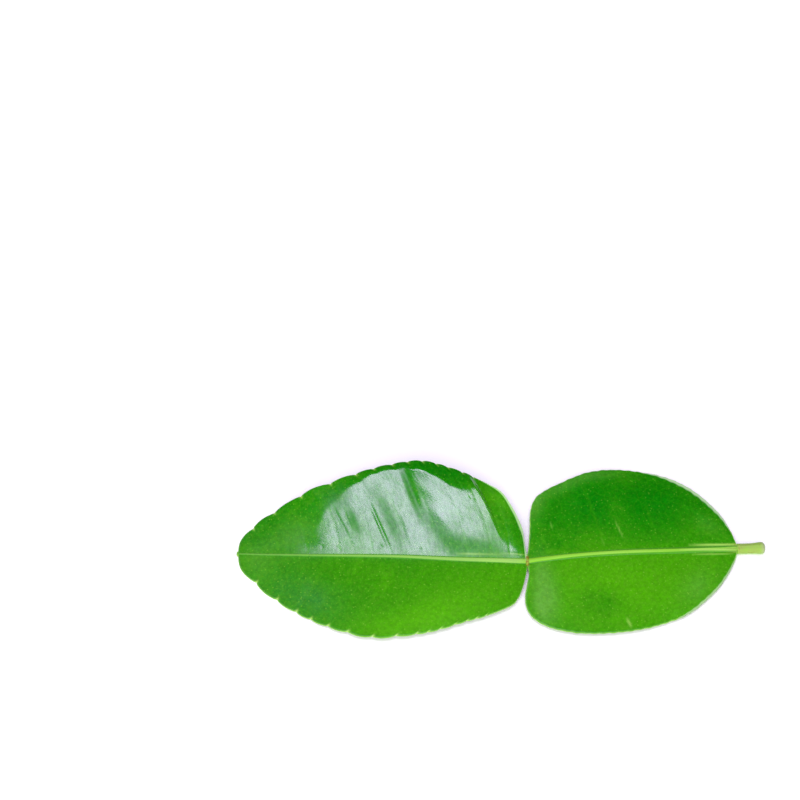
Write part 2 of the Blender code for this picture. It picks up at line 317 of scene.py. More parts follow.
LEAFLET = BladeForm(
    name="leaflet", direction=-1, length=61.5, width=Halves(20.9, 18.4), end_half_width=0.45,
    rise=Halves(0.25, -0.01), relief=Halves(0.55, 0.12), grain=Halves(0.42, 0.2), solid_rows=88, vein_start=10,
    fineness=4,
    margin=Halves(
        far=((0.006, 0.17), (0.013, 0.345), (0.03, 0.475), (0.052, 0.6), (0.085, 0.735), (0.134, 0.82), (0.203, 0.9),
             (0.297, 0.98), (0.376, 1.0), (0.485, 0.945), (0.59, 0.86), (0.686, 0.755), (0.784, 0.635),
             (0.874, 0.495), (0.94, 0.335), (0.982, 0.17)),
        near=((0.009, 0.215), (0.02, 0.34), (0.035, 0.455), (0.062, 0.555), (0.14, 0.675), (0.222, 0.765),
              (0.343, 0.91), (0.466, 0.985), (0.54, 0.995), (0.626, 0.93), (0.71, 0.83), (0.79, 0.7), (0.873, 0.525),
              (0.936, 0.35), (0.979, 0.19))),
    feet=((0.0, 0.0), (0.1, 0.012), (0.2, 0.038), (0.32, 0.115), (0.45, 0.27), (0.6, 0.475), (0.75, 0.69),
          (0.9, 0.885), (1.0, 1.0)),
    fade=((0.0, 0.0), (0.1, 0.7), (0.2, 1.0), (0.42, 1.0), (0.5, 0.97), (0.6, 0.95), (0.68, 0.9), (0.755, 0.86),
          (0.8, 0.5), (0.88, 0.1), (1.0, 0.0)),
    roll=Halves(
        far=((0.0, 0.03), (0.1, 0.1), (0.2, 0.115), (0.26, 0.105), (0.3, 0.075), (0.35, 0.075), (0.45, 0.05),
             (0.55, 0.035), (0.65, 0.045), (0.85, 0.07), (1.0, 0.02)),
        near=((0.0, 0.01), (0.15, 0.012), (0.35, 0.01), (0.6, 0.01), (0.85, 0.045), (1.0, 0.02))),
    fold=Halves(
        far=((0.0, 0.1), (0.1, 0.13), (0.2, 0.16), (0.27, 0.24), (0.282, 0.41), (0.29, 0.62), (0.297, 0.76),
             (0.305, 0.79), (0.33, 0.745), (0.36, 0.72), (0.385, 0.74), (0.42, 0.83), (0.458, 0.895), (0.55, 0.94),
             (0.6, 0.9), (0.63, 0.865), (0.66, 0.8), (0.7, 0.69), (0.73, 0.58), (0.755, 0.45), (0.8, 0.35),
             (1.0, 0.3)),
        near=((0.0, 0.4), (1.0, 0.4))),
    scallops=Scallops(Halves(
        far=(0.18, 0.22, 0.27, 0.31, 0.36, 0.41, 0.465, 0.53, 0.59, 0.68, 0.782, 0.876, 0.95),
        near=(0.145, 0.18, 0.21, 0.25, 0.3, 0.34, 0.38, 0.45, 0.53, 0.615, 0.68, 0.74, 0.788, 0.857, 0.931))),
    # How wide the pale rim is; at the leaflet's far base the wide rim carries a painted highlight.
    lip=Halves(
        far=((0.0, 0.3), (0.04, 1.05), (0.17, 0.95), (0.24, 0.35), (0.32, 0.18), (0.5, 0.14), (1.0, 0.12)),
        near=((0.0, 0.18), (0.1, 0.16), (0.3, 0.14), (1.0, 0.12))),
    strokes=strokes(
        (-26.5, 20.3, -22.5, 10.0, 0.7, 0.22, 0.0), (-33.2, 12.2, -28.7, 1.8, 0.3, 0.085, 0.0),
        (-41.2, 11.8, -37.6, 4.9, 0.3, 0.055, 0.0), (-38.9, 11.0, -36.9, 6.4, 0.24, 0.05, 0.0),
        (-30.8, 13.0, -26.4, 2.6, 0.9, 0.06, 0.0), (-27.2, 9.8, -24.8, 2.0, 0.5, 0.04, 0.0),
        (-21.8, 10.9, -14.8, 1.9, 1.1, 0.07, 0.0), (-15.0, 1.35, 0.5, 1.35, 0.13, -0.08, 0.7)),
    dents=patches(
        (-12.0, 13.4, 0.2, 0.26, 0.0, 0.04), (-10.8, 12.9, 0.26, 0.16, 20.0, 0.04),
        (-43.3, 3.1, 0.35, 0.45, 0.0, 0.04), (-40.3, 3.0, 0.3, 0.4, 0.0, 0.03), (-37.1, 3.7, 0.3, 0.5, 0.0, 0.04),
        (-30.9, 3.0, 0.45, 0.4, 0.0, 0.06), (-28.4, 10.2, 0.25, 0.4, 0.0, 0.05), (-27.2, 11.2, 0.25, 0.3, 0.0, 0.04),
        (-22.6, 2.2, 0.3, 0.4, 0.0, 0.05)),
    # Painted light: patches painted lighter, as if more brightly lit.
    sunny=patches(
        (-10.0, -8.0, 12.0, 8.0, 0.0, 0.45), (-20.0, -13.0, 9.0, 5.0, 12.0, 0.75),
        (-31.0, -15.5, 9.0, 4.0, 0.0, 0.55), (-7.0, 12.5, 3.5, 8.0, 15.0, 0.6)),
    # Painted shade: darker patches on the far half.
    deep=patches(
        (-18.0, 19.5, 13.0, 3.0, -5.0, 0.85), (-27.0, 9.0, 14.0, 9.0, 0.0, 0.45)),
    # Bluish painted shade, towards the tip.
    dusk=patches(
        (-45.0, -9.5, 6.5, 4.0, -30.0, 0.9), (-53.0, -4.0, 7.0, 4.5, 0.0, 0.45), (-47.5, 4.0, 4.0, 3.0, 0.0, 0.5)),
    # Painted sheen: pale soft patches near the tip, like a faint reflection.
    bloom=patches(
        (-50.0, 6.0, 6.0, 4.0, 20.0, 0.45), (-57.5, 1.5, 3.5, 4.0, 0.0, 0.35)),
    dull=patches(
        (-36.8, 8.6, 2.8, 1.0, 112.0, 0.9), (-28.8, 8.0, 6.5, 1.3, 113.0, 0.6), (-40.5, 13.5, 4.0, 2.4, 60.0, 0.5),
        (-18.6, 6.5, 6.0, 1.5, 127.0, 0.75), (-11.0, 2.8, 6.8, 2.1, -8.0, 0.95), (-7.2, 6.4, 3.0, 1.4, 108.0, 0.4),
        (-24.8, 15.2, 5.6, 0.8, 110.0, 0.85), (-44.5, 2.2, 4.5, 1.4, 0.0, 0.35), (-18.0, 10.6, 2.8, 2.8, 0.0, -0.35),
        (-13.5, 8.5, 4.0, 3.0, 0.0, 0.12), (-4.2, 2.6, 1.6, 1.0, 0.0, -0.25), (-34.0, 6.0, 12.0, 7.0, 0.0, 0.09),
        (-26.0, 0.9, 16.0, 1.1, -2.0, 0.25), (-8.0, 0.9, 6.0, 1.0, 0.0, 0.35), (-39.0, 6.5, 5.0, 1.2, 108.0, 0.25)),
)

WING = BladeForm(
    name="winged_stalk", direction=1, length=44.5, width=Halves(20.2, 17.9), end_half_width=1.1,
    rise=Halves(-0.01, -0.02), relief=Halves(0.35, 0.12), grain=Halves(0.3, 0.2), solid_rows=38, vein_start=4,
    fineness=7, crimp=0.045,
    margin=Halves(
        far=((0.008, 0.17), (0.016, 0.36), (0.022, 0.56), (0.047, 0.715), (0.101, 0.805), (0.171, 0.87),
             (0.245, 0.93), (0.317, 0.975), (0.416, 1.0), (0.54, 0.985), (0.683, 0.905), (0.8225, 0.71),
             (0.928, 0.45), (0.975, 0.24)),
        near=((0.005, 0.17), (-0.006, 0.3), (-0.016, 0.45), (-0.012, 0.58), (0.012, 0.7), (0.06, 0.81), (0.13, 0.9),
              (0.249, 0.98), (0.4, 1.0), (0.528, 0.97), (0.64, 0.9), (0.757, 0.785), (0.879, 0.545), (0.945, 0.345),
              (0.985, 0.17))),
    feet=((0.0, 0.0), (0.1, 0.04), (0.2, 0.115), (0.32, 0.3), (0.5, 0.56), (0.7, 0.79), (0.85, 0.91), (1.0, 1.0)),
    fade=((0.0, 0.4), (0.2, 1.0), (0.7, 1.0), (1.0, 0.2)),
    roll=Halves(
        far=((0.0, 0.0), (0.15, -0.025), (0.3, -0.01), (0.5, 0.035), (0.75, 0.06), (0.92, 0.06), (1.0, 0.02)),
        near=((0.0, 0.01), (0.2, 0.012), (0.35, 0.012), (0.55, 0.015), (0.68, 0.02), (0.92, 0.03), (1.0, 0.02))),
    fold=Halves(
        far=((0.0, 0.5), (0.2, 0.6), (0.4, 0.6), (0.6, 0.65), (0.75, 0.6), (0.92, 0.6), (1.0, 0.5)),
        near=((0.0, 0.4), (0.4, 0.4), (0.6, 0.7), (0.7, 0.9), (0.9, 0.88), (1.0, 0.5))),
    # How wide the pale rim is; near the stalk end the wide rim is a painted highlight along the turned-down margin.
    lip=Halves(
        far=((0.0, 0.16), (0.3, 0.16), (0.56, 0.23), (0.63, 0.55), (0.69, 1.0), (0.85, 0.95), (0.94, 0.3),
             (1.0, 0.2)),
        near=((0.0, 0.14), (0.5, 0.12), (0.66, 0.2), (0.72, 0.5), (0.9, 0.5), (1.0, 0.2))),
    # The first three strokes paint highlights along the ridges of the stalk's channel.
    strokes=strokes(
        (34.5, 3.75, 46.5, 4.1, 0.25, -0.05, 1.0), (32.5, 2.55, 47.0, 2.9, 0.26, -0.05, 1.0),
        (35.0, 1.62, 43.5, 1.85, 0.16, -0.05, 0.6), (19.0, 9.2, 20.5, 5.2, 0.14, -0.04, 0.4),
        (20.2, -13.0, 21.1, -15.0, 0.2, -0.05, 0.75), (15.9, 5.4, 16.3, 3.4, 0.12, 0.0, 0.25),
        (5.2, 9.2, 5.6, 7.4, 0.16, 0.0, 0.25)),
    # Painted light: patches painted lighter, as if more brightly lit; a negative amount paints less.
    sunny=patches(
        (20.0, -6.0, 22.0, 10.0, 0.0, 0.8), (14.6, -9.3, 4.2, 2.8, 0.0, -0.9), (38.0, 8.0, 6.0, 5.0, 0.0, 0.25)),
    # Painted shade: the far half painted darker; a negative amount paints less.
    deep=patches(
        (27.0, 13.5, 12.0, 7.0, 0.0, 0.9), (14.0, 13.5, 5.0, 6.0, 0.0, 0.7), (19.5, 12.0, 2.5, 4.0, 20.0, -0.6),
        (6.5, 11.0, 3.5, 4.5, 0.0, 0.5)),
    # Painted sheen: pale soft bands and patches near the joint and along the margins.
    bloom=patches(
        (2.3, 13.5, 4.0, 1.6, 75.0, 0.5), (9.5, 18.6, 8.0, 1.5, 26.0, 0.35), (15.5, 20.3, 5.0, 1.2, 8.0, 0.35),
        (3.6, -6.5, 6.5, 2.2, 96.0, 1.0), (2.2, -10.5, 3.0, 1.3, 105.0, 0.6), (39.0, 8.5, 3.0, 1.8, -30.0, 0.15),
        (35.5, -6.0, 5.0, 3.0, 40.0, 0.3)),
)


@dataclass(frozen=True)
class BareStalk:
    """The round stalk beyond the wing, which lies on the table."""

    length: float = 6.0
    radii: Knots = ((0.0, 1.1), (0.5, 1.1), (0.88, 1.25), (1.0, 1.05))
    crown_spread: float = 0.4
    flat: float = 0.03
    steps: tuple[float, float, int] = (0.02, 0.93, 32)
    end_steps: tuple[float, float, int] = (0.94, 1.0, 8)
    end_round: float = 0.12
    end_draw: float = 0.42
    least_half_height: float = 0.02
    away: float = 3.0
    ridge: float = 0.018
    ridge_turns: float = 14.0
    ring: float = 0.012
    ring_turns: float = 3.1

    def ridges(self, across: Array, x: Array) -> Array:
        """Faint ridges along the stalk and rings round it, as a share of its radius."""
        ridges, rings = np.sin(across * self.ridge_turns)[None, :], np.sin(x * self.ring_turns)[:, None]
        return 1 + self.ridge * ridges + self.ring * rings


@dataclass
class Surface:
    """What is known of every point of a blade's grid, as arrays of rows by columns."""

    points: Array
    lower: Array
    upper: Array
    marks: dict[str, Array]

    def joined(self, other: "Surface", join: Callable[[Array, Array], Array]) -> "Surface":
        """Joins another surface to this one, with a function that makes one array of two."""
        parts = (join(getattr(self, name), getattr(other, name)) for name in ("points", "lower", "upper"))
        return Surface(*parts, {name: join(values, other.marks[name]) for name, values in self.marks.items()})


@dataclass(frozen=True)
class Columns:
    """The columns of one half of a grid, from the midrib out to the margin."""

    rib: int = 9
    blade: int = 54
    rim: tuple[float, ...] = (0.42, 0.26, 0.15, 0.07, 0.02, 0.0)
    most_rim_share: float = 0.35
    last_step: float = 0.6

    def spread(self, reach: Array, rib_share: Array) -> tuple[Array, Array, Array]:
        """Spreads the columns between the midrib's line and the margin.

        Args:
            reach: Each row's distance from the midrib's line to the margin.
            rib_share: The share of it that the rib takes.

        Returns:
            The share of the reach, the share within rib or blade, and whether it is rib, rows by columns.
        """
        rib = np.arange(self.rib + 1) / self.rib
        blade_reach = (reach * (1 - rib_share))[:, None]
        rim = np.array(self.rim)[None, :] * np.minimum(1.0, blade_reach * self.most_rim_share / self.rim[0])
        steps = (np.arange(1, self.blade + 1) / (self.blade + self.last_step))[None, :]
        blade = np.concatenate([steps * (1 - rim[:, :1] / blade_reach), 1 - rim / blade_reach], axis=1)
        kind_share = np.concatenate([np.repeat(rib[None, :], len(reach), axis=0), blade], axis=1)
        is_rib = np.zeros(kind_share.shape, bool)
        is_rib[:, :self.rib + 1] = True
        share = rib_share[:, None]
        return np.where(is_rib, kind_share * share, share + (1 - share) * kind_share), kind_share, is_rib


def linked(name: str, data: bpy.types.ID) -> Object:
    """Puts an object with this mesh, light or camera into the scene."""
    made = bpy.data.objects.new(name, data)
    bpy.context.scene.collection.objects.link(made)
    return made


def finished(form: bmesh.types.BMesh, name: str, materials: list[Material]) -> Object:
    """Turns a form into an object of the scene with these materials, and frees the form."""
    mesh = bpy.data.meshes.new(name)
    form.to_mesh(mesh)
    form.free()
    for material in materials:
        mesh.materials.append(material)
    return linked(name, mesh)


@dataclass
class Blade:
    """A leaf blade as a thin closed sheet: the leaflet, or the wing with its bare stalk."""

    form: BladeForm
    rib: Midrib = Midrib()
    stalk: BareStalk | None = None
    columns: Columns = Columns()
    neck_half_width: float = 1.25
    thickness: float = 0.42
    rim_thickness: float = 0.40
    rim_round: float = 0.22
    rim_flat: float = 0.15
    station_bow: float = 0.16
    most_rib_share: float = 0.68
    least_squareness: float = 0.15
    waves: Halves[float] = Halves(3.0, 2.6)
    wave_height: Halves[float] = Halves(0.30, 0.05)
    crimps: tuple[float, float, float] = (210.0, 131.0, 23.0)
    vein_every: int = 7
    vein_stop: int = 4
    vein_ridge: float = 0.15
    vein_groove: float = 0.035
    vein_width: float = 0.34
    vein_hollow: float = 1.1
    vein_wander: float = 0.35
    vein_wander_turns: tuple[float, float] = (4.2, 0.9)
    puff: float = 0.035
    ripple: Halves[float] = Halves(0.022, 0.007)
    ripple_rise: float = 1.5
    ripples: tuple[tuple[float, float, float, float], ...] = (
        (1.0, 0.55, 0.31, 1.0), (0.8, -0.36, 0.62, 2.2), (0.5, 1.25, -0.7, 0.4), (0.4, 0.8, 1.5, 3.0))
    fold_softness: float = 0.2
    notch_depth: float = 0.45
    joint_length: float = 0.30
    joint_half_width: float = 0.9
    joint_blend: float = 0.3
    half_blend: float = 8.0
    grain_blend: float = 1.5
    ripe_loss: float = 0.8
    ripe_bend: float = 1.5
    bare_start: float = 0.03
    bare_from: float = 41.0
    bare_blend: float = 3.5
    table_gap: float = 0.01

    def margins(self) -> dict[Side, Margin]:
        """The smooth margins of the two halves, from the joint outwards."""
        form = self.form
        made: dict[Side, Margin] = {}
        for side in Side:
            along = np.array([0.0, *(form.direction * a * form.length for a, _ in form.margin[side]),
                              form.direction * form.length])
            across = [self.neck_half_width, *(w * form.width[side] for _, w in form.margin[side]),
                      form.end_half_width]
            middle = curve(MIDRIB_LINE, along)
            middle[0] = 0.0
            points = [Vector((x, y + side.value * off)) for x, y, off in zip(along, middle, across)]
            made[side] = Margin(points, -side.value * form.direction)
        return made

    def places(self, margin: Margin, side: Side) -> tuple[Array, Array, Array]:
        """Places the rows along one margin.

        Args:
            margin: The half's smooth margin.
            side: Which half it is.

        Returns:
            Each row's share of the margin's length, how far its lobe swells, and how near a notch it is.
        """
        fine, scallops = self.form.fineness, self.form.scallops
        rows = self.form.solid_rows * fine
        if scallops is None:
            share = np.linspace(0.0, 1.0, rows + 1)
            quick, middle, slow = self.crimps
            crimp = np.sin(share * quick) + 0.7 * np.sin(share * middle + 1.0) * np.sin(share * slow)
            return share, self.form.crimp * crimp * np.sin(np.pi * share), np.zeros(rows + 1)
        ends = [0.0, *(margin.share_at(self.form.length * notch) for notch in scallops.notches[side]), 1.0]
        marks = [round(end * self.form.solid_rows) * fine for end in ends]
        share, swell, notch = np.zeros(rows + 1), np.zeros(rows + 1), np.zeros(rows + 1)
        for lobe, (first, last) in enumerate(zip(marks, marks[1:])):
            here = slice(first, last + 1)
            part = np.arange(last - first + 1) / (last - first)
            length = (ends[lobe + 1] - ends[lobe]) * margin.run[-1]
            share[here] = ends[lobe] + (ends[lobe + 1] - ends[lobe]) * part
            if lobe:
                rounded = np.sin(np.pi * part) ** scallops.roundness
                swell[here] = scallops.depth_share * length * (rounded - scallops.mean)
                near = bell(np.minimum(part, 1 - part) * length, scallops.reach)
                notch[here] = np.maximum(notch[here], near)
        swell[-1] = 0.0
        return share, swell, notch

    def half(self, side: Side, margin: Margin, rows: dict[Side, tuple[Array, ...]]) -> Surface:
        """Works out one half of the blade, from the midrib out to the margin.

        Args:
            side: Which half.
            margin: Its margin.
            rows: The places of the rows along both margins.

        Returns:
            The half's surface, rows by columns.
        """
        form = self.form
        share, swell, notch = rows[side]
        edge = margin.moved(share, swell)
        mean = (rows[Side.FAR][0] + rows[Side.NEAR][0]) / 2
        foot_x = form.direction * form.length * curve(form.feet, mean)
        foot = np.stack([foot_x, curve(MIDRIB_LINE, foot_x)], axis=-1)
        reach = np.linalg.norm(edge - foot, axis=1)
        outwards, onwards = (edge - foot) / reach[:, None], np.gradient(edge, axis=0)
        onwards /= np.linalg.norm(onwards, axis=1, keepdims=True)
        square = np.abs(outwards[:, 0] * onwards[:, 1] - outwards[:, 1] * onwards[:, 0])
        rib = self.rib.half_width(foot_x)
        out, kind_share, is_rib = self.columns.spread(reach, np.minimum(rib / reach, self.most_rib_share))
        points = foot[:, None, :] + (edge - foot)[:, None, :] * out[..., None]
        points[..., 0] += self.station_bow * (foot[:, None, 0] - edge[:, None, 0]) * 4 * out * (1 - out)
        x = points[..., 0]
        off = np.abs(points[..., 1] - curve(MIDRIB_LINE, x))
        lift = self.lift(side, share[:, None], off, out, reach[:, None], x)
        vein, puff = self.veins(side, points, kind_share, is_rib)
        lift += puff * form.relief[side] + self.ripple[side] * self.unevenness(points, out)
        lift -= sum(stroke.sink * stroke.at(points) for stroke in form.strokes)
        lift -= sum(dent.at(points) for dent in form.dents)
        keel = np.where(is_rib, self.rib.keel_share * rib[:, None] * dome(kind_share), 0.0)
        crest = np.where(is_rib, self.rib.crest(foot_x[:, None], kind_share) * rib[:, None], 0.0)
        inset = (1 - out) * reach[:, None]
        thick = self.thickness + (self.rim_thickness - self.thickness) * out**4
        middle = np.maximum(lift, self.table_gap) + thick / 2
        lower = np.maximum(lift - keel - self.vein_ridge * vein, self.table_gap)
        upper = middle + thick / 2 + crest - self.vein_groove * form.relief[side] * vein
        rim_dome = self.rim_flat + (1 - self.rim_flat) * dome(np.clip(1 - inset / self.rim_round, 0.0, 1.0))
        station = np.arange(len(share)) * form.length / form.solid_rows / form.fineness
        marks = {
            "rib": np.where(is_rib, kind_share, 1.0 + (off - rib[:, None]).clip(0.0)),
            "vein": vein,
            "rim": np.minimum(inset * square.clip(self.least_squareness, 1.0)[:, None], WELL_INSIDE),
            "lip": np.broadcast_to(curve(form.lip[side], share)[:, None], out.shape),
            "half": side.value * np.minimum(off / self.half_blend, 1.0),
            "notch": notch[:, None] * bell(inset, self.notch_depth),
            "run": np.broadcast_to(station[:, None], out.shape),
            "away": off,
            "pale": np.minimum(sum(stroke.pale * stroke.at(points) for stroke in form.strokes), 1.0),
            # The patch marks: painted light, painted shade and painted sheen, and the dull patches.
            **{name: self.total(getattr(form, name), points) for name in PATCH_MARKS},
            "core": curve(self.rib.core, x),
            "ripe": 1.0 - self.ripe_loss * np.clip(-x / form.length, 0.0, 1.0) ** self.ripe_bend,
            "grain": self.grain_share(side, off),
            "joint": bell(x, self.joint_length) * bell((off - self.joint_half_width).clip(0.0), self.joint_blend),
            "bare": is_rib * self.bare_start * np.clip((x - self.bare_from) / self.bare_blend, 0.0, 1.0),
        }
        return Surface(points, middle - (middle - lower) * rim_dome, middle + (upper - middle) * rim_dome, marks)

    def total(self, parts: tuple[Patch, ...], points: Array) -> Array:
        """How strong several patches are together at these points, at most 1."""
        return np.minimum(sum((patch.at(points) for patch in parts), np.zeros(points.shape[:2])), 1.0)

    def grain_share(self, side: Side, off: Array) -> Array:
        """How coarse the skin's grain is, even at the midrib and the half's own further out."""
        middle = (self.form.grain.far + self.form.grain.near) / 2
        return middle + (self.form.grain[side] - middle) * np.minimum(off / self.grain_blend, 1.0)

    def lift(self, side: Side, share: Array, off: Array, out: Array, reach: Array, x: Array) -> Array:
        """Height of the blade's underside above the table, before its fine relief.

        Args:
            side: Which half.
            share: The row's share of the margin.
            off: Distance from the midrib in plan.
            out: Share of the way from the midrib to the margin.
            reach: The row's distance from the midrib to the margin.
            x: Distance along the leaf from the joint.

        Returns:
            The heights.
        """
        form = self.form
        wave = np.sin(np.pi * share) * np.sin(2 * np.pi * self.waves[side] * share)
        fold = curve(form.fold[side], share)
        beyond = np.clip((out - fold) / (1 - fold), 0.0, 1.0)
        turned = beyond**2 * (1 + self.fold_softness) / (beyond + self.fold_softness)
        return (curve(MIDRIB_HEIGHTS, x) + form.rise[side] * off * curve(form.fade, share)
                - curve(form.roll[side], share) * reach * turned
                + self.wave_height[side] * wave * out**2)

    def veins(self, side: Side, points: Array, share: Array, is_rib: Array) -> tuple[Array, Array]:
        """Finds the side veins, which follow the solid's stations, and the puffed tissue between them.

        Args:
            side: Which half.
            points: The half's points in plan.
            share: Share within the rib or the blade.
            is_rib: Whether a column belongs to the rib.

        Returns:
            How strongly a vein shows at each point, and how far the tissue between veins rises.
        """
        every, fine = self.vein_every, self.form.fineness
        station = np.arange(len(points))[:, None] / fine
        step = np.linalg.norm(np.gradient(points, axis=0), axis=-1) * fine
        first = 0 if side is Side.FAR else every // 2
        outwards, onwards = self.vein_wander_turns
        wander = self.vein_wander * np.sin(outwards * share + station * onwards) * share
        away = np.abs((station + wander - first + every / 2) % every - every / 2) * step
        number = np.round((station - first) / every) * every + first
        there = (number >= self.form.vein_start) & (number <= self.form.solid_rows - self.vein_stop) & ~is_rib
        vein = np.where(there, bell(away, self.vein_width) * np.clip(1 - share**2, 0.0, 1.0), 0.0)
        between = (1 - bell(away, self.vein_hollow)) * np.sin(np.pi * np.clip(share, 0.0, 1.0))
        return vein, self.puff * np.where(is_rib, 0.0, between)

    def unevenness(self, points: Array, out: Array) -> Array:
        """Slow unevenness of the blade, a few centimetres to a few millimetres long."""
        x, y = points[..., 0], points[..., 1]
        waves = sum(size * np.sin(by_x * x + by_y * y + start) for size, by_x, by_y, start in self.ripples)
        return waves * np.clip(out * self.ripple_rise, 0.0, 1.0)

    def stalk_surface(self) -> Surface:
        """The bare stalk on the blade's own columns, so that the two run into each other."""
        stalk, cols = self.stalk, self.columns
        step = np.concatenate([np.linspace(*stalk.steps), np.linspace(*stalk.end_steps)])
        x = self.form.length + stalk.length * step
        ending = np.clip((step - 1 + stalk.end_round) / stalk.end_round, 0.0, 1.0)
        radius = curve(stalk.radii, step) * (1 - stalk.end_draw * ending**4)
        outer = cols.blade + len(cols.rim)
        share = np.concatenate([np.arange(cols.rib + 1) / cols.rib * stalk.crown_spread,
                                stalk.crown_spread + (1 - stalk.crown_spread) * np.arange(1, outer + 1) / outer])
        across = np.concatenate([-share[:0:-1], share])
        off = np.sin(across * np.pi / 2)[None, :]
        centre = np.maximum(curve(MIDRIB_HEIGHTS, x), curve(stalk.radii, step))[:, None] - stalk.flat
        half = radius[:, None] * dome(off) * stalk.ridges(across, x) + stalk.least_half_height
        shape = (len(x), len(across))
        middle = curve(MIDRIB_LINE, x)[:, None]
        points = np.stack([np.broadcast_to(x[:, None], shape), middle + radius[:, None] * off], axis=-1)
        marks = {name: np.zeros(shape) for name in ("rib", "vein", "half", "notch", "pale", "joint", *PATCH_MARKS)}
        marks |= {name: np.full(shape, value) for name, value in
                  {"rim": WELL_INSIDE, "lip": 0.2, "ripe": 1.0, "core": 0.65, "grain": 0.4}.items()}
        marks |= {"run": np.broadcast_to(x[:, None], shape), "away": np.broadcast_to(across * stalk.away, shape),
                  "bare": np.broadcast_to(np.clip(step, self.bare_start, 1.0)[:, None], shape)}
        return Surface(points, np.maximum(centre - half, self.table_gap), centre + half, marks)

    def surface(self) -> Surface:
        """The whole piece's surface, rows by columns from the near margin to the far one."""
        margins = self.margins()
        rows = {side: self.places(margins[side], side) for side in Side}
        near, far = (self.half(side, margins[side], rows) for side in (Side.NEAR, Side.FAR))
        whole = near.joined(far, lambda first, second: np.concatenate([first[:, :0:-1], second], axis=1))
        if self.stalk is None:
            return whole
        return whole.joined(self.stalk_surface(), lambda first, second: np.concatenate([first, second]))

    def build(self, materials: list[Material]) -> Object:
        """Makes the piece: a grid for the underside, pulled up to the upper side.

        Args:
            materials: The materials of the upper and the lower side.

        Returns:
            The finished object.
        """
        surface = self.surface()
        rows, columns = surface.lower.shape
        form = bmesh.new()
        bmesh.ops.create_grid(form, x_segments=rows - 1, y_segments=columns - 1, size=1.0)
        top = form.verts.layers.int.new("top")
        raised = bmesh.ops.extrude_face_region(form, geom=form.faces[:], use_keep_orig=True)
        for item in raised["geom"]:
            if isinstance(item, bmesh.types.BMVert):
                item[top] = 1
        self.sort_walls(form, [face for face in form.faces if len({v[top] for v in face.verts}) == 2])
        for face in form.faces:
            face.material_index = Face.UPPER.value if any(v[top] for v in face.verts) else Face.LOWER.value
            face.smooth = True
        piece = finished(form, self.form.name, materials)
        self.shape(piece.data, surface)
        form = bmesh.new()
        form.from_mesh(piece.data)
        bmesh.ops.recalc_face_normals(form, faces=form.faces[:])
        form.to_mesh(piece.data)
        form.free()
        return piece

    def sort_walls(self, form: bmesh.types.BMesh, walls: list[bmesh.types.BMFace]) -> None:
        """Makes the walls round the rim again in a fixed order, so that every run gives the same mesh."""
        form.verts.index_update()
        form.verts.ensure_lookup_table()
        rings = [[vertex.index for vertex in wall.verts] for wall in walls]
        starts = [ring.index(min(ring)) for ring in rings]
        bmesh.ops.delete(form, geom=walls, context="FACES_ONLY")
        for ring in sorted(ring[start:] + ring[:start] for ring, start in zip(rings, starts)):
            form.faces.new([form.verts[index] for index in ring])

    def shape(self, mesh: bpy.types.Mesh, surface: Surface) -> None:
        """Moves the grid's vertices to the surface and writes its marks as attributes.

        Args:
            mesh: The doubled grid.
            surface: Where every point goes.
        """
        rows, columns = surface.lower.shape
        count = len(mesh.vertices)
        flat = np.empty(count * 3, np.float32)
        mesh.vertices.foreach_get("co", flat)
        flat = flat.reshape(-1, 3).astype(float)
        is_top = np.empty(count, np.int32)
        mesh.attributes["top"].data.foreach_get("value", is_top)
        row = np.rint((flat[:, 0] + 1) / 2 * (rows - 1)).astype(int)
        column = np.rint((flat[:, 1] + 1) / 2 * (columns - 1)).astype(int)
        places = np.empty((count, 3))
        places[:, :2] = surface.points[row, column] + JOINT_PLACE
        places[:, 2] = np.where(is_top > 0, surface.upper[row, column], surface.lower[row, column])
        mesh.vertices.foreach_set("co", (places * METRES_PER_MM).astype(np.float32).ravel())
        for name, values in surface.marks.items():
            attribute = mesh.attributes.new(name, "FLOAT", "POINT")
            attribute.data.foreach_set("value", values[row, column].astype(np.float32))
        mesh.update()


